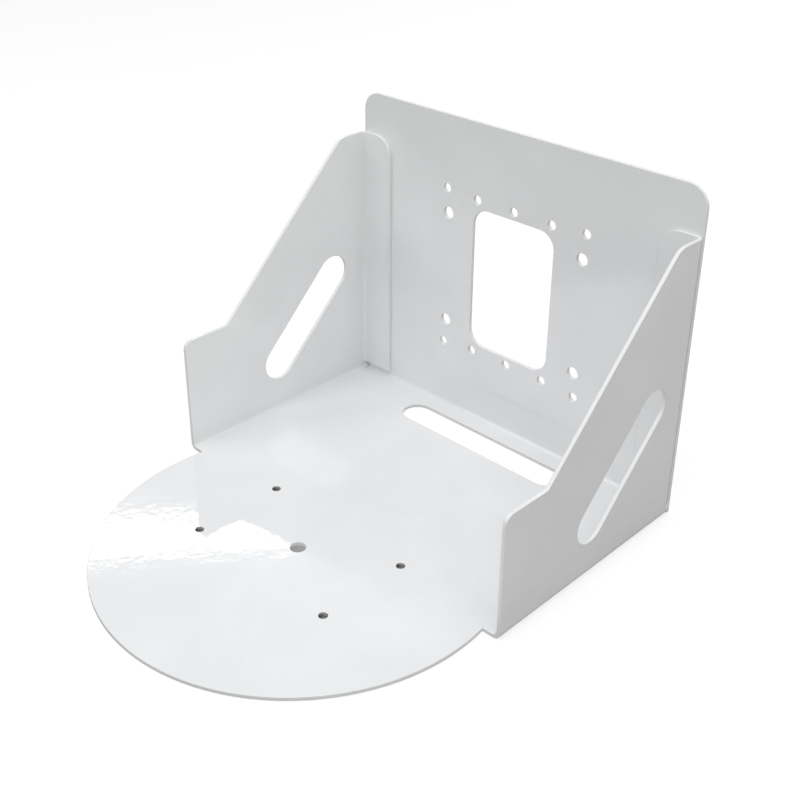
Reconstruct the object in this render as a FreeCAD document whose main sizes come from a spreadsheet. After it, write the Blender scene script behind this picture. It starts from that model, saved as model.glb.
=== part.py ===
import FreeCAD, Part
import math
import os
import Sketcher

# A wall bracket for a camera, cut from one steel sheet and folded, in millimetres.
# +X points right seen from the front, +Y into the wall and +Z up.
# The origin is the centre of the camera screw hole, on the underside of the base.

SIZES = {
    # The sheet and its folds
    "sheet_thickness": 2.0,
    "bend_radius": 2.0,
    "relief_depth": 1.2,
    "relief_gap": 0.3,
    "edge_break": 0.3,
    # The base: a rectangle behind the camera screw and a disc around it, a little set back
    "overall_width": 206.0,
    "camera_reach": 144.0,
    "disc_diameter": 190.0,
    "disc_setback": 3.5,
    "camera_hole": 7.5,
    "camera_pattern_width": 84.0,
    "camera_pattern_depth": 46.0,
    "thread_drill": 3.3,
    "thread_chamfer": 4.2,
    "base_slot_length": 103.0,
    "base_slot_width": 16.0,
    "base_slot_inset": 20.25,
    # The side plates, sloped at the front, and their rear tabs
    "side_depth": 126.0,
    "side_height": 141.5,
    "side_front_height": 61.5,
    "side_front_ledge": 26.0,
    "side_front_radius": 4.5,
    "side_top_radius": 10.0,
    "slope_angle": 45.0,
    "slope_slot_inset": 47.0,
    "slope_slot_travel": 55.5,
    "slope_slot_width": 19.5,
    "tab_width": 21.0,
    "tab_corner_radius": 10.0,
    # The back panel, set in a little from the side plates, its window and its fixing holes
    "back_inset": 1.0,
    "back_height": 163.0,
    "back_corner_radius": 10.0,
    "fixing_centre_height": 82.0,
    "window_width": 50.0,
    "window_height": 75.0,
    "window_corner_radius": 9.0,
    "wall_box_spacing": 83.3,
    "double_box_spacing": 46.0,
    "square_pattern_spacing": 86.0,
    "small_fixing_hole": 5.0,
    "anchor_row_spacing": 60.0,
    "anchor_hole": 6.5,
}

doc = FreeCAD.newDocument("camera_wall_bracket")
sheet = doc.addObject("Spreadsheet::Sheet", "sizes")
for row, (alias, number) in enumerate(SIZES.items(), start=1):
    sheet.set(f"A{row}", alias)
    sheet.set(f"B{row}", str(number))
    sheet.setAlias(f"B{row}", alias)
doc.recompute()

# Places that several features share, as expressions of the sizes
outer_radius = "(sizes.bend_radius + sizes.sheet_thickness)"
side_outside = "(sizes.overall_width / 2)"
side_inside = f"({side_outside} - sizes.sheet_thickness)"
side_bend_line = f"({side_outside} - {outer_radius})"
side_front = "(sizes.camera_reach - sizes.side_depth)"
wall_face = "sizes.camera_reach"
panel_front = f"({wall_face} - sizes.sheet_thickness)"
back_bend_line = f"({wall_face} - {outer_radius})"
tab_bend_line = f"({panel_front} - {outer_radius})"
back_bend_end = f"({side_bend_line} - 2 * sizes.relief_gap)"
relief_top = f"({outer_radius} + sizes.relief_depth)"
foot_top = f"({relief_top} - sizes.relief_gap)"
foot_end = f"({panel_front} - sizes.relief_gap)"
slope_foot = f"({side_front} + sizes.side_front_ledge)"
slope_run = "((sizes.side_height - sizes.side_front_height) / tan(sizes.slope_angle))"

# Distances for telling edges apart: as good as nothing, and a short step off an edge
SLACK = 0.001
PROBE = 0.05


def number_of(expression):
    """The present value of an expression of the sizes."""
    return float(sheet.evalExpression(expression))


def new_sketch(body, name, plane, offset="0"):
    """A sketch on one of the body's own origin planes, moved along its normal."""
    sketch = body.newObject("Sketcher::SketchObject", name)
    support = next(item for item in body.Origin.OriginFeatures if item.Role == plane)
    sketch.AttachmentSupport = [(support, "")]
    sketch.MapMode = "FlatFace"
    sketch.setExpression("AttachmentOffset.Base.z", offset)
    return sketch


def bind(sketch, kind, place, expression):
    """A dimension of a sketch, driven by an expression of the sizes."""
    index = sketch.addConstraint(Sketcher.Constraint(kind, *place, number_of(expression)))
    sketch.setExpression(f"Constraints[{index}]", expression)


def place_point(sketch, geometry, point, across, up):
    """Fixes one point of a geometry at two expressions, from the sketch's origin."""
    bind(sketch, "DistanceX", (geometry, point), across)
    bind(sketch, "DistanceY", (geometry, point), up)


def draw_outline(sketch, corners):
    """A closed outline of straight sides; a corner is (across, up) or (across, up, radius)."""
    spots = [FreeCAD.Vector(number_of(item[0]), number_of(item[1]), 0) for item in corners]
    count = len(corners)
    starts = []
    ends = []
    arcs = []
    for index, item in enumerate(corners):
        spot = spots[index]
        ahead = (spots[(index + 1) % count] - spot).normalize()
        along = (spot - spots[index - 1]).normalize()
        if len(item) == 2:
            starts.append(spot)
            ends.append(spot)
            arcs.append(None)
            continue
        radius = number_of(item[2])
        turn = along.getAngle(ahead)
        setback = radius * math.tan(turn / 2)
        centre = spot + (ahead - along).normalize() * (radius / math.cos(turn / 2))
        into = spot - along * setback
        out_of = spot + ahead * setback
        left_turn = along.cross(ahead).z > 0
        first, last = (into, out_of) if left_turn else (out_of, into)
        spokes = [point - centre for point in (first, last)]
        angles = [math.atan2(spoke.y, spoke.x) for spoke in spokes]
        circle = Part.Circle(centre, FreeCAD.Vector(0, 0, 1), radius)
        ends.append(into)
        starts.append(out_of)
        arcs.append((Part.ArcOfCircle(circle, *angles), left_turn))
    sides = [
        sketch.addGeometry(Part.LineSegment(starts[index], ends[(index + 1) % count]))
        for index in range(count)
    ]
    for index, item in enumerate(corners):
        before = sides[index - 1]
        after = sides[index]
        if arcs[index] is None:
            sketch.addConstraint(Sketcher.Constraint("Coincident", before, 2, after, 1))
            place_point(sketch, after, 1, item[0], item[1])
            continue
        shape, left_turn = arcs[index]
        arc = sketch.addGeometry(shape)
        sketch.addConstraint(Sketcher.Constraint("Tangent", before, 2, arc, 1 if left_turn else 2))
        sketch.addConstraint(Sketcher.Constraint("Tangent", arc, 2 if left_turn else 1, after, 1))
        bind(sketch, "Radius", (arc,), item[2])
        corner = sketch.addGeometry(Part.Point(spots[index]), True)
        sketch.addConstraint(Sketcher.Constraint("PointOnObject", corner, 1, before))
        sketch.addConstraint(Sketcher.Constraint("PointOnObject", corner, 1, after))
        place_point(sketch, corner, 1, item[0], item[1])


def draw_bend(sketch, across, up, quarter):
    """The section of a right-angled bend about (across, up), from quarter times 90 degrees on."""
    centre = FreeCAD.Vector(number_of(across), number_of(up), 0)
    start_angle = quarter * math.pi / 2
    rings = []
    for radius in ("sizes.bend_radius", outer_radius):
        circle = Part.Circle(centre, FreeCAD.Vector(0, 0, 1), number_of(radius))
        ring = sketch.addGeometry(Part.ArcOfCircle(circle, start_angle, start_angle + math.pi / 2))
        bind(sketch, "Radius", (ring,), radius)
        rings.append(ring)
    inner, outer = rings
    place_point(sketch, inner, 3, across, up)
    sketch.addConstraint(Sketcher.Constraint("Coincident", inner, 3, outer, 3))
    level_end, upright_end = (1, 2) if quarter % 2 == 0 else (2, 1)
    for ring in rings:
        sketch.addConstraint(Sketcher.Constraint("Horizontal", ring, level_end, inner, 3))
        sketch.addConstraint(Sketcher.Constraint("Vertical", ring, upright_end, inner, 3))
    for end in (1, 2):
        points = [sketch.getPoint(ring, end) for ring in rings]
        line = sketch.addGeometry(Part.LineSegment(*points))
        sketch.addConstraint(Sketcher.Constraint("Coincident", line, 1, inner, end))
        sketch.addConstraint(Sketcher.Constraint("Coincident", line, 2, outer, end))


def draw_circle(sketch, across, up, diameter):
    """A circle about (across, up)."""
    centre = FreeCAD.Vector(number_of(across), number_of(up), 0)
    circle = Part.Circle(centre, FreeCAD.Vector(0, 0, 1), number_of(diameter) / 2)
    index = sketch.addGeometry(circle)
    bind(sketch, "Diameter", (index,), diameter)
    place_point(sketch, index, 3, across, up)


def draw_slot(sketch, start, end, width):
    """A round-ended slot between two end centres, each (across, up)."""
    centres = [FreeCAD.Vector(*[number_of(item) for item in spot], 0) for spot in (start, end)]
    radius = number_of(width) / 2
    along = (centres[1] - centres[0]).normalize()
    heading = math.atan2(along.y, along.x)
    aside = FreeCAD.Vector(-along.y, along.x, 0) * radius
    caps = []
    for centre, turn in zip(centres, (math.pi / 2, -math.pi / 2)):
        circle = Part.Circle(centre, FreeCAD.Vector(0, 0, 1), radius)
        first = heading + turn
        caps.append(sketch.addGeometry(Part.ArcOfCircle(circle, first, first + math.pi)))
    left = sketch.addGeometry(Part.LineSegment(centres[1] + aside, centres[0] + aside))
    right = sketch.addGeometry(Part.LineSegment(centres[0] - aside, centres[1] - aside))
    for side, from_cap, to_cap in ((left, caps[1], caps[0]), (right, caps[0], caps[1])):
        sketch.addConstraint(Sketcher.Constraint("Tangent", from_cap, 2, side, 1))
        sketch.addConstraint(Sketcher.Constraint("Tangent", side, 2, to_cap, 1))
    sketch.addConstraint(Sketcher.Constraint("Equal", caps[0], caps[1]))
    bind(sketch, "Diameter", (caps[0],), width)
    place_point(sketch, caps[0], 3, *start)
    place_point(sketch, caps[1], 3, *end)


def add_pad(body, name, sketch, length, both_ways=False):
    """Adds a sketch's shape along its normal, or half of the length each way."""
    pad = body.newObject("PartDesign::Pad", name)
    pad.Profile = sketch
    pad.setExpression("Length", length)
    pad.SideType = "Symmetric" if both_ways else "One side"
    doc.recompute()
    return pad


def cut_through(body, name, sketch):
    """Cuts a sketch's shape through everything on both sides of it."""
    before = body.Shape.Volume
    pocket = body.newObject("PartDesign::Pocket", name)
    pocket.Profile = sketch
    pocket.Type = "ThroughAll"
    pocket.SideType = "Symmetric"
    doc.recompute()
    if not body.Shape.Volume < before:
        raise ValueError(f"{name} cuts nothing")
    return pocket


def is_outer_edge(shape, edge, spot):
    """Whether two faces meet at the spot in a sharp edge that points outward."""
    faces = shape.ancestorsOfType(edge, Part.Face)
    if len(faces) != 2:
        return False
    first, second = [face.normalAt(*face.Surface.parameter(spot)) for face in faces]
    if first.getAngle(second) < math.pi / 4:
        return False
    beside = spot + (first - second) * PROBE
    return not shape.isInside(beside, SLACK / 10, True)


def break_edges(body, name, chosen):
    """Takes the sharpness off the outer edges whose middles are chosen.

    The short edges that run across the sheet, from one skin to the other, stay sharp.
    """
    base = body.Tip
    shape = body.Shape
    edges = []
    for index, edge in enumerate(shape.Edges, start=1):
        spot = edge.valueAt((edge.FirstParameter + edge.LastParameter) / 2)
        across = abs(edge.Length - number_of("sizes.sheet_thickness")) < SLACK
        if not across and chosen(spot) and is_outer_edge(shape, edge, spot):
            edges.append(f"Edge{index}")
    chamfer = body.newObject("PartDesign::Chamfer", name)
    chamfer.Base = (base, edges)
    chamfer.setExpression("Size", "sizes.edge_break")
    doc.recompute()


bracket = doc.addObject("PartDesign::Body", "bracket")
bracket.Label = "bracket"
bracket.Placement = FreeCAD.Placement()
doc.recompute()

# The floor between the folds, its rear strip running to the back bend
floor_outline = new_sketch(bracket, "floor_outline", "XY_Plane")
draw_outline(floor_outline, [
    (f"-{side_bend_line}", side_front),
    (side_bend_line, side_front),
    (side_bend_line, tab_bend_line),
    (back_bend_end, tab_bend_line),
    (back_bend_end, back_bend_line),
    (f"-{back_bend_end}", back_bend_line),
    (f"-{back_bend_end}", tab_bend_line),
    (f"-{side_bend_line}", tab_bend_line),
])
add_pad(bracket, "floor", floor_outline, "sizes.sheet_thickness")

# The disc that carries the camera reaches out in front of the side plates
disc_outline = new_sketch(bracket, "disc_outline", "XY_Plane")
draw_circle(disc_outline, "0", "sizes.disc_setback", "sizes.disc_diameter")
add_pad(bracket, "disc", disc_outline, "sizes.sheet_thickness")

# The bend between the floor and the right side plate
side_bend_section = new_sketch(bracket, "side_bend_section", "XZ_Plane", f"-{foot_end}")
draw_bend(side_bend_section, side_bend_line, outer_radius, 3)
side_bend = add_pad(bracket, "side_bend", side_bend_section, f"{foot_end} - {side_front}")

# The right side plate, level at its front corner, then sloped up to its level top; behind the
# bend its foot runs on nearly to the back panel, below the relief that frees the tab
side_outline = new_sketch(bracket, "side_outline", "YZ_Plane", side_inside)
draw_outline(side_outline, [
    (side_front, outer_radius),
    (foot_end, outer_radius),
    (foot_end, foot_top),
    (tab_bend_line, foot_top),
    (tab_bend_line, "sizes.side_height"),
    (f"{slope_foot} + {slope_run}", "sizes.side_height", "sizes.side_top_radius"),
    (slope_foot, "sizes.side_front_height"),
    (side_front, "sizes.side_front_height", "sizes.side_front_radius"),
])
side_plate = add_pad(bracket, "side_plate", side_outline, "sizes.sheet_thickness")

# The side plate's rear edge turns inward as a tab that lies on the back panel
tab_bend_section = new_sketch(bracket, "tab_bend_section", "XY_Plane", relief_top)
draw_bend(tab_bend_section, side_bend_line, tab_bend_line, 0)
tab_bend = add_pad(bracket, "tab_bend", tab_bend_section, f"sizes.side_height - {relief_top}")

tab_edge = f"({side_outside} - sizes.tab_width)"
tab_outline = new_sketch(bracket, "tab_outline", "XZ_Plane", f"-{panel_front}")
draw_outline(tab_outline, [
    (tab_edge, relief_top),
    (side_bend_line, relief_top),
    (side_bend_line, "sizes.side_height"),
    (tab_edge, "sizes.side_height", "sizes.tab_corner_radius"),
])
tab = add_pad(bracket, "tab", tab_outline, "sizes.sheet_thickness")

# The left side is the mirror image of the right one
left_side = bracket.newObject("PartDesign::Mirrored", "left_side")
left_side.Originals = [side_bend, side_plate, tab_bend, tab]
middle = next(item for item in bracket.Origin.OriginFeatures if item.Role == "YZ_Plane")
left_side.MirrorPlane = (middle, [""])
bracket.Tip = left_side
doc.recompute()

# The laser-cut outline of the floor, disc and sides has its edges broken, not at the reliefs
front_line = number_of(side_front) + SLACK
relief_line = number_of(relief_top) + SLACK
break_edges(bracket, "side_edges", lambda spot: spot.z > relief_line or spot.y < front_line)

# The bend between the floor and the back panel
back_bend_section = new_sketch(bracket, "back_bend_section", "YZ_Plane")
draw_bend(back_bend_section, back_bend_line, outer_radius, 3)
add_pad(bracket, "back_bend", back_bend_section, f"2 * {back_bend_end}", both_ways=True)

# The back panel; an ear beside each end of its bend runs down nearly to the underside
panel_edge = f"({side_outside} - sizes.back_inset)"
ear_edge = f"({back_bend_end} + sizes.relief_gap)"
panel_outline = new_sketch(bracket, "panel_outline", "XZ_Plane", f"-{wall_face}")
right_half = [
    (back_bend_end, outer_radius),
    (back_bend_end, relief_top),
    (ear_edge, relief_top),
    (ear_edge, "sizes.relief_gap"),
    (panel_edge, "sizes.relief_gap"),
    (panel_edge, "sizes.back_height", "sizes.back_corner_radius"),
]
left_half = [(f"-{item[0]}", *item[1:]) for item in reversed(right_half)]
draw_outline(panel_outline, right_half + left_half)
add_pad(bracket, "panel", panel_outline, "sizes.sheet_thickness")

# The panel's own outline, without the ends of the ears beside the reliefs
ear_line = number_of(ear_edge) + SLACK
ear_foot = number_of("sizes.relief_gap") + SLACK
panel_line = number_of(panel_front) - SLACK
side_top_line = number_of("sizes.side_height") + SLACK


def on_panel_outline(spot):
    """Whether a spot lies on the panel's sides, corners or top."""
    on_side = abs(spot.x) > ear_line and spot.z > ear_foot
    return spot.y > panel_line and (on_side or spot.z > side_top_line)


break_edges(bracket, "panel_edges", on_panel_outline)

# The window in the back panel, for the wall box behind it
window_outline = new_sketch(bracket, "window_outline", "XZ_Plane")
window_edges = {
    "right": "sizes.window_width / 2",
    "left": "-sizes.window_width / 2",
    "top": "sizes.fixing_centre_height + sizes.window_height / 2",
    "bottom": "sizes.fixing_centre_height - sizes.window_height / 2",
}
window_corners = [("left", "bottom"), ("right", "bottom"), ("right", "top"), ("left", "top")]
draw_outline(window_outline, [
    (window_edges[across], window_edges[up], "sizes.window_corner_radius")
    for across, up in window_corners
])
window = cut_through(bracket, "window", window_outline)

# A slot for the cable across the rear of the floor
base_slot_end = "(sizes.base_slot_length - sizes.base_slot_width) / 2"
base_slot_centre = f"{wall_face} - sizes.base_slot_inset"
base_slot_outline = new_sketch(bracket, "base_slot_outline", "XY_Plane")
draw_slot(
    base_slot_outline,
    (f"-{base_slot_end}", base_slot_centre),
    (base_slot_end, base_slot_centre),
    "sizes.base_slot_width",
)
base_slot = cut_through(bracket, "base_slot", base_slot_outline)

# A slot through both side plates, parallel to the slope and starting square below its foot
slot_foot = (
    f"{slope_foot} + sizes.slope_slot_inset * sin(sizes.slope_angle)",
    "sizes.side_front_height - sizes.slope_slot_inset * cos(sizes.slope_angle)",
)
slot_head = (
    f"{slot_foot[0]} + sizes.slope_slot_travel * cos(sizes.slope_angle)",
    f"{slot_foot[1]} + sizes.slope_slot_travel * sin(sizes.slope_angle)",
)
side_slot_outline = new_sketch(bracket, "side_slot_outline", "YZ_Plane")
draw_slot(side_slot_outline, slot_foot, slot_head, "sizes.slope_slot_width")
side_slots = cut_through(bracket, "side_slots", side_slot_outline)

# The rims of the window and the slots are broken too; the round holes stay sharp
cutters = [pocket.AddSubShape for pocket in (window, base_slot, side_slots)]
break_edges(
    bracket,
    "opening_edges",
    lambda spot: any(cutter.isInside(spot, SLACK, True) for cutter in cutters),
)


def fixing_holes(name, diameter, places):
    """Round holes through the back panel, each place measured from the pattern's centre."""
    sketch = new_sketch(bracket, f"{name}_centres", "XZ_Plane")
    for across, up in places:
        draw_circle(sketch, across, f"sizes.fixing_centre_height + {up}", diameter)
    cut_through(bracket, name, sketch)


def rectangle(width, height):
    """The four corners of a rectangle about the pattern's centre."""
    return [(f"{x} * {width} / 2", f"{y} * {height} / 2") for x in (-1, 1) for y in (-1, 1)]


# Fixing holes for a single and a double wall box, a square pattern and wall anchors
single_box = [("0", f"{side} * sizes.wall_box_spacing / 2") for side in (-1, 1)]
double_box = rectangle("sizes.double_box_spacing", "sizes.wall_box_spacing")
square = rectangle("sizes.square_pattern_spacing", "sizes.square_pattern_spacing")
anchors = rectangle("sizes.wall_box_spacing", "sizes.anchor_row_spacing")
fixing_holes("box_holes", "sizes.small_fixing_hole", single_box + double_box)
fixing_holes("square_holes", "sizes.small_fixing_hole", square)
fixing_holes("anchor_holes", "sizes.anchor_hole", anchors)

# The hole for the camera's tripod screw, in the middle of the disc
camera_centre = new_sketch(bracket, "camera_centre", "XY_Plane")
draw_circle(camera_centre, "0", "0", "sizes.camera_hole")
cut_through(bracket, "camera_screw_hole", camera_centre)

# Four threaded holes around it, drilled to the thread's core and countersunk on top
thread_centres = new_sketch(bracket, "thread_centres", "XY_Plane", "sizes.sheet_thickness")
for across, up in rectangle("sizes.camera_pattern_width", "sizes.camera_pattern_depth"):
    draw_circle(thread_centres, across, up, "sizes.thread_drill")
doc.recompute()
threaded_holes = bracket.newObject("PartDesign::Hole", "threaded_holes")
threaded_holes.Profile = thread_centres
threaded_holes.DepthType = "ThroughAll"
threaded_holes.setExpression("Diameter", "sizes.thread_drill")
threaded_holes.HoleCutType = "Countersink"
threaded_holes.HoleCutCustomValues = True
threaded_holes.setExpression("HoleCutDiameter", "sizes.thread_chamfer")
threaded_holes.HoleCutCountersinkAngle = 90
doc.recompute()

for item in doc.Objects:
    if "Invalid" in item.State or "Error" in item.State:
        raise ValueError(f"{item.Name} failed: {item.State}")
shape = bracket.Shape
if shape.isNull() or not shape.isValid() or len(shape.Solids) != 1:
    raise ValueError("the bracket isn't one valid solid")
box = shape.BoundBox
print(f"bracket: {box.XLength:.2f} x {box.YLength:.2f} x {box.ZLength:.2f} mm,"
      f" {shape.Volume / 1000:.2f} cm3, {len(shape.Faces)} faces")
os.makedirs("parts", exist_ok=True)
shape.exportStep("parts/bracket.step")
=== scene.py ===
"""A camera wall bracket folded from one sheet of steel with a glossy white powder coat.

+X points right seen from the front, +Y into the wall and +Z up; everything is in metres.
"""

import math

import bmesh
import bpy
import numpy as np
from bpy.props import FloatProperty, FloatVectorProperty, PointerProperty
from mathutils import Matrix, Vector


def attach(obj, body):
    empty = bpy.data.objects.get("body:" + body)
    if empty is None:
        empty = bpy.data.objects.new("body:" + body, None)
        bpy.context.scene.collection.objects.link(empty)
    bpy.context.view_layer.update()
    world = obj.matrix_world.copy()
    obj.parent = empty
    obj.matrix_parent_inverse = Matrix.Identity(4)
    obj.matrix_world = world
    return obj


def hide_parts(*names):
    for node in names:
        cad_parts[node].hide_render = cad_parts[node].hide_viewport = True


bl_info = {
    "name": "Camera wall bracket",
    "version": (1, 0, 0),
    "blender": (4, 5, 0),
    "location": "3D View > Sidebar > Bracket",
    "description": "Builds the coat, threads and studio of a folded camera wall bracket",
    "category": "Object",
}

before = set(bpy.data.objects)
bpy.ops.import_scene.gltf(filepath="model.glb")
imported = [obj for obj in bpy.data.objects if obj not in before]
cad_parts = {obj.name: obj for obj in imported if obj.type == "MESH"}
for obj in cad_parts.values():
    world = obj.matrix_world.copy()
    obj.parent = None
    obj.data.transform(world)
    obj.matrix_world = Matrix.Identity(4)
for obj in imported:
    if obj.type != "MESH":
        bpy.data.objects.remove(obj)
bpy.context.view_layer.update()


MM = 0.001

# Places on the base, from the camera screw's centre: its four threads and its cable slot
THREAD_PLACES = {
    "left_front": (-42 * MM, -23 * MM),
    "left_rear": (-42 * MM, 23 * MM),
    "right_front": (42 * MM, -23 * MM),
    "right_rear": (42 * MM, 23 * MM),
}
SLOT_CENTRE = (0.0, 124 * MM, 0.0)

# The base's thickness and a threaded hole's radii: as drilled, countersunk on top, and how much
# wider it opens below
SHEET = 2 * MM
DRILL_RADIUS = 1.65 * MM
SINK_RADIUS = 2.1 * MM
FOOT_SINK = 0.3 * MM

# Lump sizes of the coat's clouds and specks and of the steel's stains and scores
CLOUD_SIZE = 45 * MM
SPECK_SIZE = 1.1 * MM
STAIN_SIZE = 1.2 * MM
SCORE_SIZE = 0.4 * MM
SCORE_DEPTH = 0.01 * MM

# Faces that meet at less than this angle are shaded as one round. Faces lie in one plane when
# their normals agree to one part in so many, and their offsets to a short step.
ROUND_ANGLE = math.radians(60)
NORMAL_PARTS = 500
OFFSET_STEP = 0.02 * MM

# The studio floor: its reach to each side, its gap below the bracket, how brightly it shows to the
# eye, and how brightly in the coat's gloss, under the cable slot as a painted reflection and
# elsewhere
FLOOR_REACH = 6.0
FLOOR_GAP = 0.05 * MM
FLOOR_GLOW = 0.7
SLOT_SHINE = 0.7
PLAIN_SHINE = 0.03

# Distances between which the floor turns plain white, is free of the painted shade under the disc,
# and is clear of the painted reflection under the cable slot
WHITE_REACH = (0.6, 3.5)
DISC_REACH = (55 * MM, 85 * MM)
SLOT_REACH = (48 * MM, 58 * MM)

# The rays that show the floor and the world as they look, not as they light
SEEN_RAYS = ("Is Camera Ray", "Is Transmission Ray", "Is Glossy Ray")

# The lamps point at one spot. A soft lamp has a name; a spot, given by its turn from the wall's
# side to the right, its elevation and its distance; a width; a share of its level; and a tint.
LIGHT_TARGET = Vector((0, 20, 20)) * MM
PLAIN = (1.0, 1.0, 1.0)
COOL = (0.96, 0.972, 1.0)
WARM = (0.985, 1.0, 0.94)
KEY_LIGHT = ("key", (20, 84, 1.7), 2.0, 1.0, COOL)
FILL_LIGHTS = (
    ("right_fill", (135, 50, 1.7), 1.6, 0.88, WARM),
    ("left_fill", (-155, 50, 1.7), 1.6, 1.4, PLAIN),
    ("side_fill", (90, 8, 1.5), 1.0, 0.95, WARM),
    ("back_fill", (0, 8, 1.8), 1.0, 1.5, PLAIN),
)
STRIP_ENDS = ((-70.36, 34.14, 2.0), (-47.56, 36.16, 3.42))
STRIP_WIDTH = 0.088

# The photograph's view: a pinhole camera, in degrees, metres and pixels of an 800 px frame
VIEW_TARGET = Vector((6.803, 64.0, 87.020)) * MM
VIEW_AZIMUTH = 43.643
VIEW_ELEVATION = 27.409
VIEW_ROLL = 0.712
VIEW_DISTANCE = 529.65 * MM
VIEW_FOCAL = 1183.44
VIEW_CENTRE = (409.825, 338.083)
FRAME_WIDTH = 800
SENSOR_WIDTH = 36.0


# Sizes and colours


class CoatProperties(bpy.types.PropertyGroup):
    """The powder coat's colour and skin."""

    colour: FloatVectorProperty(
        name="Coat colour",
        description="Colour of the powder coat",
        subtype="COLOR",
        size=3,
        min=0.0,
        max=1.0,
        default=(0.868, 0.872, 0.884),
    )
    roughness: FloatProperty(
        name="Roughness",
        description="Roughness of the coat's glossy skin",
        subtype="FACTOR",
        min=0.0,
        max=1.0,
        default=0.055,
    )
    peel_size: FloatProperty(
        name="Orange peel size",
        description="Width of one dimple of the coat's orange peel",
        unit="LENGTH",
        min=0.0005,
        max=0.02,
        default=0.0034,
    )
    peel_depth: FloatProperty(
        name="Orange peel depth",
        description="Height of the coat's orange peel",
        unit="LENGTH",
        min=0.0,
        max=0.0005,
        default=0.000026,
    )


class ThreadProperties(bpy.types.PropertyGroup):
    """The threads in the base."""

    colour: FloatVectorProperty(
        name="Steel colour",
        description="Colour of the bare steel that the tap leaves",
        subtype="COLOR",
        size=3,
        min=0.0,
        max=1.0,
        default=(0.16, 0.155, 0.15),
    )
    pitch: FloatProperty(
        name="Thread pitch",
        description="Rise of the thread in one turn",
        unit="LENGTH",
        min=0.0003,
        max=0.002,
        default=0.0007,
    )
    depth: FloatProperty(
        name="Thread depth",
        description="Depth of the thread's groove outside the drilled hole",
        unit="LENGTH",
        min=0.0001,
        max=0.0008,
        default=0.00035,
    )


class StudioProperties(bpy.types.PropertyGroup):
    """The studio around the bracket."""

    daylight: FloatProperty(
        name="Even light",
        description="Strength of the even light from all around",
        min=0.0,
        max=2.0,
        default=0.28,
    )
    key_level: FloatProperty(
        name="Key light",
        description="How much the key light adds to a face turned towards it, where 1 is daylight",
        min=0.0,
        max=2.0,
        default=0.41,
    )
    fill_level: FloatProperty(
        name="Fill light",
        description="How much the fill light adds to a face turned towards it, where 1 is daylight",
        min=0.0,
        max=2.0,
        default=0.24,
    )
    strip_radiance: FloatProperty(
        name="Strip light",
        description="Brightness of the narrow light that mirrors in the disc",
        min=0.0,
        max=20.0,
        default=7.0,
    )
    floor_colour: FloatVectorProperty(
        name="Floor colour",
        description="Colour of the studio floor",
        subtype="COLOR",
        size=3,
        min=0.0,
        max=1.0,
        default=(0.37, 0.37, 0.37),
    )


# Shader writing


class Wire:
    """A node's output that can be added, multiplied and so on with others or with numbers."""

    def __init__(self, shader, socket):
        self.shader = shader
        self.socket = socket

    def math(self, operation, *others):
        """A Math node of the given operation on this value and others."""
        return self.shader.node("ShaderNodeMath", {"operation": operation}, [self, *others])

    def __add__(self, other):
        return self.math("ADD", other)

    def __sub__(self, other):
        return self.math("SUBTRACT", other)

    def __rsub__(self, other):
        return self.shader.node("ShaderNodeMath", {"operation": "SUBTRACT"}, [other, self])

    def __mul__(self, other):
        return self.math("MULTIPLY", other)

    __radd__ = __add__
    __rmul__ = __mul__

    def ramp_between(self, low, high):
        """Rises smoothly from 0 at low to 1 at high."""
        settings = {"interpolation_type": "SMOOTHSTEP"}
        sockets = {"Value": self, "From Min": low, "From Max": high, "To Min": 0, "To Max": 1}
        return self.shader.node("ShaderNodeMapRange", settings, sockets)


class Shader:
    """Writes the node tree of one material."""

    def __init__(self, name):
        self.material = bpy.data.materials.new(name)
        self.material.use_nodes = True
        self.tree = self.material.node_tree
        self.tree.nodes.clear()

    def node(self, kind, settings=None, inputs=None, output=0):
        """Makes a node: its settings first, then the values or links of its sockets."""
        made = self.tree.nodes.new(kind)
        for key, value in (settings or {}).items():
            setattr(made, key, value)
        pairs = inputs.items() if isinstance(inputs, dict) else enumerate(inputs or [])
        for key, value in pairs:
            if isinstance(value, Wire):
                self.tree.links.new(value.socket, made.inputs[key])
            else:
                made.inputs[key].default_value = value
        return Wire(self, made.outputs[output]) if made.outputs else None

    def object_place(self):
        """The place on the object, in metres."""
        return self.node("ShaderNodeTexCoord", output="Object")

    def distance(self, place, centre):
        """How far a place lies from a centre, in metres."""
        settings = {"operation": "DISTANCE"}
        return self.node("ShaderNodeVectorMath", settings, [place, centre], output="Value")

    def noise(self, place, size, detail=1.0, roughness=0.5, stretch=(1, 1, 1)):
        """Noise of the given lump size in metres, about 0 to 1, stretched along the axes."""
        stretched = self.node("ShaderNodeMapping", inputs={"Vector": place, "Scale": stretch})
        sockets = {"Vector": stretched, "Scale": 1 / size, "Detail": detail, "Roughness": roughness}
        return self.node("ShaderNodeTexNoise", inputs=sockets)

    def blend_colours(self, factor, first, second):
        """From the first colour to the second as the factor goes from 0 to 1."""
        sockets = {0: factor, 6: first, 7: second}
        return self.node("ShaderNodeMix", {"data_type": "RGBA"}, sockets, output=2)

    def bump(self, height, distance):
        """A Bump node on a height, with the given full height in metres."""
        return self.node("ShaderNodeBump", inputs={"Height": height, "Distance": distance})

    def finish(self, wire):
        """Links a shader to the material's output and gives the material."""
        self.node("ShaderNodeOutputMaterial", inputs={0: wire})
        return self.material


def grey(level):
    """An opaque grey of the given level."""
    return (level, level, level, 1.0)


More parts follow.
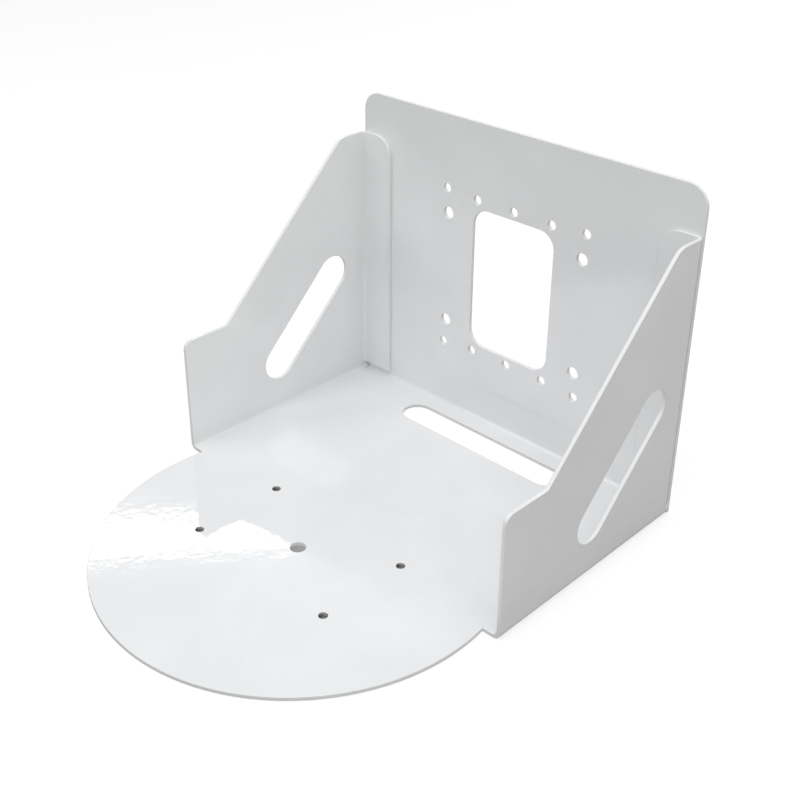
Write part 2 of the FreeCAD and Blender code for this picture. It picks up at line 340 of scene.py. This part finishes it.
def coat_material(coat):
    """Glossy white powder coat: orange peel in two sizes, faint clouds in its tone and gloss."""
    shader = Shader("white_powder_coat")
    place = shader.object_place()
    clouds = shader.noise(place, CLOUD_SIZE, detail=3.0)
    specks = shader.noise(place, SPECK_SIZE)
    shade = clouds * 0.7 + specks * 0.3
    base = Vector(coat.colour)
    low = (*(base * 0.965), 1.0)
    high = (*(base * 1.02), 1.0)
    colour = shader.blend_colours(shade.ramp_between(0.3, 0.7), low, high)
    rough = coat.roughness * (0.8 + clouds * 0.4)
    peel = shader.noise(place, coat.peel_size, roughness=0.4)
    waves = shader.noise(place, coat.peel_size * 4.0)
    height = peel + waves * 1.3 + specks * 0.1
    sockets = {
        "Base Color": colour,
        "Roughness": rough,
        "Normal": shader.bump(height, coat.peel_depth),
        "IOR": 1.6,
    }
    return shader.finish(shader.node("ShaderNodeBsdfPrincipled", inputs=sockets))


def steel_material(thread):
    """Bare cut steel in the threads: dark, oily and scored around by the tap."""
    shader = Shader("bare_steel")
    place = shader.object_place()
    stains = shader.noise(place, STAIN_SIZE, detail=3.0)
    scores = shader.noise(place, SCORE_SIZE, stretch=(1, 1, 9))
    base = Vector(thread.colour)
    colour = shader.blend_colours(stains, (*(base * 0.7), 1.0), (*(base * 1.3), 1.0))
    sockets = {
        "Base Color": colour,
        "Roughness": 0.28 + stains * 0.2,
        "Metallic": 1.0,
        "Normal": shader.bump(scores, SCORE_DEPTH),
    }
    return shader.finish(shader.node("ShaderNodeBsdfPrincipled", inputs=sockets))


# Meshes


def new_piece(name, points, faces, material):
    """A smooth-shaded mesh object at the origin from points and faces in metres."""
    mesh = bpy.data.meshes.new(name)
    corners = faces.reshape(-1, faces.shape[-1])
    mesh.from_pydata(points.reshape(-1, 3).tolist(), [], corners.tolist())
    mesh.polygons.foreach_set("use_smooth", np.ones(len(mesh.polygons), bool))
    mesh.materials.append(material)
    mesh.update()
    piece = bpy.data.objects.new(name, mesh)
    bpy.context.scene.collection.objects.link(piece)
    return piece


def thread_ring(centre, thread, turns=72, stations=84):
    """A ring of steel whose bore is threaded, as points and faces.

    The section runs once around the ring: down the bore from the top rim, out along the
    underside and up the outer wall. The bore's radius is the drilled radius, plus the groove's
    depth times a rounded saw that climbs one pitch per turn, faded out into a cone at each end.
    """
    angle = np.linspace(0, 2 * np.pi, turns, endpoint=False)
    depth = np.linspace(0, SHEET, stations)
    drop, around = np.meshgrid(depth, angle, indexing="ij")
    climb = (SHEET - drop) / thread.pitch - around / (2 * np.pi)
    groove = np.abs(2 * (climb - np.floor(climb)) - 1)
    groove = groove * groove * (3 - 2 * groove)
    top_cone = SINK_RADIUS - drop
    foot_cone = DRILL_RADIUS + FOOT_SINK - (SHEET - drop)
    bore = DRILL_RADIUS + thread.depth * groove
    radius = np.maximum(np.maximum(bore, top_cone), foot_cone)
    height = SHEET - drop
    outer_radius = np.full((1, turns), SINK_RADIUS)
    radius = np.vstack([radius, outer_radius])
    height = np.vstack([height, np.zeros((1, turns))])
    circle = np.broadcast_to(angle, radius.shape)
    points = np.stack(
        [centre[0] + radius * np.cos(circle), centre[1] + radius * np.sin(circle), height], -1
    )
    rows, columns = radius.shape
    index = np.arange(rows * columns).reshape(rows, columns)
    below = np.roll(index, -1, axis=0)
    faces = np.stack(
        [index, np.roll(index, -1, axis=1), np.roll(below, -1, axis=1), below], -1
    )
    return points, faces


def faces_of_edges(mesh):
    """For each edge, the faces that meet in it."""
    faces = [[] for _ in mesh.edges]
    for polygon in mesh.polygons:
        for loop in polygon.loop_indices:
            faces[mesh.loops[loop].edge_index].append(polygon.index)
    return faces


def mesh_values(items, name, width, kind=float):
    """One value of every item of a mesh, as an array with the given width."""
    values = np.empty(len(items) * width, kind)
    items.foreach_get(name, values)
    return values.reshape(-1, width) if width > 1 else values


def round_edges(mesh):
    """Shades the narrow edges and the bends round, while the flat sides stay flat.

    The normal of a face's corner is the sum of the normals of the faces that meet there within
    60 degrees of its own, each times the area of all the faces that lie in the same plane.
    """
    normals = mesh_values(mesh.polygons, "normal", 3)
    offset = (normals * mesh_values(mesh.polygons, "center", 3)).sum(1)
    planes = np.rint(np.column_stack([normals * NORMAL_PARTS, offset / OFFSET_STEP])).astype(int)
    plane = np.unique(planes, axis=0, return_inverse=True)[1].ravel()
    weight = np.bincount(plane, mesh_values(mesh.polygons, "area", 1))[plane]
    vertex = mesh_values(mesh.loops, "vertex_index", 1, int)
    face = np.repeat(np.arange(len(plane)), mesh_values(mesh.polygons, "loop_total", 1, int))
    meeting = np.bincount(vertex)
    first_there = np.cumsum(meeting) - meeting
    partners = meeting[vertex]
    corner = np.repeat(np.arange(len(vertex)), partners)
    turn = np.arange(len(corner)) - np.repeat(np.cumsum(partners) - partners, partners)
    other = np.argsort(vertex, kind="stable")[first_there[vertex[corner]] + turn]
    alike = (normals[face[corner]] * normals[face[other]]).sum(1) > math.cos(ROUND_ANGLE)
    share = normals[face[other]] * (weight[face[other]] * alike)[:, None]
    mixed = np.stack([np.bincount(corner, share[:, axis]) for axis in range(3)], 1)
    mixed /= np.linalg.norm(mixed, axis=1, keepdims=True)
    mesh.polygons.foreach_set("use_smooth", np.ones(len(mesh.polygons), bool))
    mesh.normals_split_custom_set(mixed)


# Lights


def away_from_wall(azimuth, elevation):
    """The direction out of the wall, turned right by the azimuth and up by the elevation."""
    across, up = math.radians(azimuth), math.radians(elevation)
    return Vector((math.sin(across) * math.cos(up), -math.cos(across) * math.cos(up), math.sin(up)))


def aim(turn, elevation, distance):
    """The place at a turn from the wall's side to the right, an elevation and a distance."""
    across, up = math.radians(turn), math.radians(elevation)
    way = Vector((math.sin(across) * math.cos(up), math.cos(across) * math.cos(up), math.sin(up)))
    return LIGHT_TARGET + way * distance


def add_soft_light(name, spot, width, share, tint, level):
    """A square light that adds its share of a level to a face turned towards it."""
    place = aim(*spot)
    turn = (LIGHT_TARGET - place).to_track_quat("-Z", "Y").to_matrix().to_4x4()
    data = area_light_data(name, (width, width))
    data.color = tint
    data.energy = level * share * math.pi**2 * (place - LIGHT_TARGET).length_squared
    add_light(data, Matrix.Translation(place) @ turn)


def add_strip_light(radiance):
    """A long narrow light behind the left side, whose mirror image crosses the disc."""
    near, far = (aim(*spot) for spot in STRIP_ENDS)
    middle = (near + far) / 2
    along = (far - near).normalized()
    away = middle - LIGHT_TARGET
    away = (away - away.dot(along) * along).normalized()
    turn = Matrix((along, away.cross(along), away)).transposed().to_4x4()
    size = ((far - near).length, STRIP_WIDTH)
    data = area_light_data("strip", size)
    data.energy = radiance * math.pi * size[0] * size[1]
    add_light(data, Matrix.Translation(middle) @ turn)


def area_light_data(name, size):
    """A rectangular light of the given size."""
    data = bpy.data.lights.new(name, "AREA")
    data.shape = "RECTANGLE"
    data.size, data.size_y = size
    return data


def add_light(data, place):
    """Puts a light into the scene with its place and turn."""
    light = bpy.data.objects.new(data.name, data)
    light.matrix_world = place
    bpy.context.scene.collection.objects.link(light)


# Operators


class BRACKET_OT_coat(bpy.types.Operator):
    """Makes the coated bracket: the folded sheet with its edges and bends shaded round."""

    bl_idname = "bracket.coat"
    bl_label = "Coated bracket"

    def execute(self, context):
        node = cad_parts["bracket"]
        mesh = node.data.copy()
        mesh.name = "coated_bracket"
        piece = bpy.data.objects.new("coated_bracket", mesh)
        context.scene.collection.objects.link(piece)
        self.weld(mesh)
        self.open_thread_holes(mesh)
        mesh.materials.clear()
        mesh.materials.append(coat_material(context.scene.bracket_coat))
        round_edges(mesh)
        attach(piece, "root")
        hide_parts("bracket")
        return {"FINISHED"}

    @staticmethod
    def weld(mesh):
        """Joins the loose triangles into one closed skin."""
        skin = bmesh.new()
        skin.from_mesh(mesh)
        bmesh.ops.remove_doubles(skin, verts=skin.verts, dist=1e-6)
        skin.to_mesh(mesh)
        skin.free()
        if any(len(edge_faces) != 2 for edge_faces in faces_of_edges(mesh)):
            raise RuntimeError("the bracket's skin isn't closed")

    @staticmethod
    def open_thread_holes(mesh):
        """Widens the four drilled holes to the countersink's rim, to take the thread rings."""
        points = mesh_values(mesh.vertices, "co", 3)
        for centre in THREAD_PLACES.values():
            spoke = points[:, :2] - centre
            radius = np.hypot(spoke[:, 0], spoke[:, 1])
            rim = (radius < SINK_RADIUS) & (points[:, 2] < 2 * SHEET)
            if not rim.any():
                raise RuntimeError("a threaded hole isn't where it should be")
            points[rim, :2] = centre + spoke[rim] * (SINK_RADIUS / radius[rim])[:, None]
        mesh.vertices.foreach_set("co", points.ravel())
        mesh.update()


class BRACKET_OT_threads(bpy.types.Operator):
    """Makes the four threaded bores in the base, in bare steel."""

    bl_idname = "bracket.threads"
    bl_label = "Threads"

    def execute(self, context):
        thread = context.scene.bracket_thread
        material = steel_material(thread)
        for name, centre in THREAD_PLACES.items():
            piece = new_piece(f"thread_{name}", *thread_ring(centre, thread), material)
            piece.data.set_sharp_from_angle(angle=math.radians(50))
            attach(piece, "root")
        return {"FINISHED"}


class BRACKET_OT_studio(bpy.types.Operator):
    """Makes the pale floor, the soft lights and the camera."""

    bl_idname = "bracket.studio"
    bl_label = "Studio"

    def execute(self, context):
        studio = context.scene.bracket_studio
        self.add_floor(studio)
        self.add_world(context.scene, studio)
        self.add_lights(studio)
        self.add_camera(context.scene)
        context.scene.view_settings.view_transform = "Standard"
        return {"FINISHED"}

    @staticmethod
    def add_floor(studio):
        """A wide level sheet: white to the eye but for shadows, and painted shade under the disc,
        where its glow is left out.

        In the coat's gloss it is dark too, but for a painted reflection: a patch under the cable
        slot that glows in the gloss only.
        """
        shader = Shader("studio_floor")
        path = shader.node("ShaderNodeLightPath")
        camera, transmission, glossy = (
            Wire(shader, path.socket.node.outputs[name]) for name in SEEN_RAYS
        )
        place = shader.object_place()
        reach = shader.distance(place, (0.0, 0.0, 0.0))
        far = reach.ramp_between(*WHITE_REACH)
        # Painted shade: the floor's white glow is left out under the disc, so it shows dark there
        beside_disc = reach.ramp_between(*DISC_REACH)
        beside_slot = shader.distance(place, SLOT_CENTRE).ramp_between(*SLOT_REACH)
        seen_glow = (FLOOR_GLOW + far * (1 - FLOOR_GLOW)) * beside_disc
        # Painted reflection: under the cable slot the floor glows brightly in the coat's gloss only
        gloss_glow = SLOT_SHINE - beside_slot * (SLOT_SHINE - PLAIN_SHINE)
        seen = camera.math("MAXIMUM", transmission)
        sockets = {
            "Base Color": shader.blend_colours(far, (*studio.floor_colour, 1.0), grey(0.0)),
            "Roughness": 1.0,
            "Specular IOR Level": 0.0,
            "Emission Color": seen * seen_glow + glossy * gloss_glow,
            "Emission Strength": 1.0,
        }
        material = shader.finish(shader.node("ShaderNodeBsdfPrincipled", inputs=sockets))
        corners = np.array([(-1, -1), (1, -1), (1, 1), (-1, 1)]) * FLOOR_REACH
        points = np.column_stack([corners, np.full(4, -FLOOR_GAP)])
        floor = new_piece("studio_floor", points, np.array([[0, 1, 2, 3]]), material)

    @staticmethod
    def add_world(scene, studio):
        """Even light from all around, which is seen as plain white."""
        world = bpy.data.worlds.new("studio")
        world.use_nodes = True
        nodes, links = world.node_tree.nodes, world.node_tree.links
        background = nodes["Background"]
        path = nodes.new("ShaderNodeLightPath")
        seen = nodes.new("ShaderNodeMath")
        seen.operation = "ADD"
        seen.use_clamp = True
        for index, name in enumerate(SEEN_RAYS[::2]):
            links.new(path.outputs[name], seen.inputs[index])
        level = nodes.new("ShaderNodeMapRange")
        level.inputs["To Min"].default_value = studio.daylight
        level.inputs["To Max"].default_value = 1.0
        links.new(seen.outputs[0], level.inputs["Value"])
        links.new(level.outputs[0], background.inputs["Strength"])
        background.inputs["Color"].default_value = grey(1.0)
        scene.world = world

    @staticmethod
    def add_lights(studio):
        """A large key light overhead, fills all around, and a narrow strip behind the left."""
        add_soft_light(*KEY_LIGHT, studio.key_level)
        for light in FILL_LIGHTS:
            add_soft_light(*light, studio.fill_level)
        add_strip_light(studio.strip_radiance)

    @staticmethod
    def add_camera(scene):
        """The photograph's camera."""
        data = bpy.data.cameras.new("camera")
        data.sensor_width = SENSOR_WIDTH
        data.lens = VIEW_FOCAL / FRAME_WIDTH * SENSOR_WIDTH
        data.shift_x = (FRAME_WIDTH / 2 - VIEW_CENTRE[0]) / FRAME_WIDTH
        data.shift_y = (VIEW_CENTRE[1] - FRAME_WIDTH / 2) / FRAME_WIDTH
        data.clip_start = 0.01
        data.clip_end = 100.0
        camera = bpy.data.objects.new("camera", data)
        away = away_from_wall(VIEW_AZIMUTH, VIEW_ELEVATION)
        turn = (-away).to_track_quat("-Z", "Y").to_matrix().to_4x4()
        roll = Matrix.Rotation(math.radians(VIEW_ROLL), 4, "Z")
        camera.matrix_world = Matrix.Translation(VIEW_TARGET + away * VIEW_DISTANCE) @ turn @ roll
        scene.collection.objects.link(camera)
        scene.camera = camera


# Panel and registration


class BRACKET_PT_panel(bpy.types.Panel):
    """Lists the bracket's operators and their values in the sidebar."""

    bl_idname = "BRACKET_PT_panel"
    bl_label = "Camera wall bracket"
    bl_space_type = "VIEW_3D"
    bl_region_type = "UI"
    bl_category = "Bracket"

    def draw(self, context):
        for group, operator in SECTIONS:
            box = self.layout.box()
            values = getattr(context.scene, group)
            for name in values.__annotations__:
                box.prop(values, name)
            box.operator(operator.bl_idname)


SECTIONS = (
    ("bracket_coat", BRACKET_OT_coat),
    ("bracket_thread", BRACKET_OT_threads),
    ("bracket_studio", BRACKET_OT_studio),
)
GROUPS = {
    "bracket_coat": CoatProperties,
    "bracket_thread": ThreadProperties,
    "bracket_studio": StudioProperties,
}
CLASSES = (*GROUPS.values(), *(operator for _, operator in SECTIONS), BRACKET_PT_panel)


def register():
    """Registers the classes and gives the scene its values."""
    for made in CLASSES:
        bpy.utils.register_class(made)
    for name, group in GROUPS.items():
        setattr(bpy.types.Scene, name, PointerProperty(type=group))


def unregister():
    """Takes the scene's values and the classes away again."""
    for name in GROUPS:
        delattr(bpy.types.Scene, name)
    for made in reversed(CLASSES):
        bpy.utils.unregister_class(made)


def main():
    """Builds the bracket and its studio."""
    register()
    bpy.ops.bracket.coat()
    bpy.ops.bracket.threads()
    bpy.ops.bracket.studio()


if __name__ == "__main__":
    main()
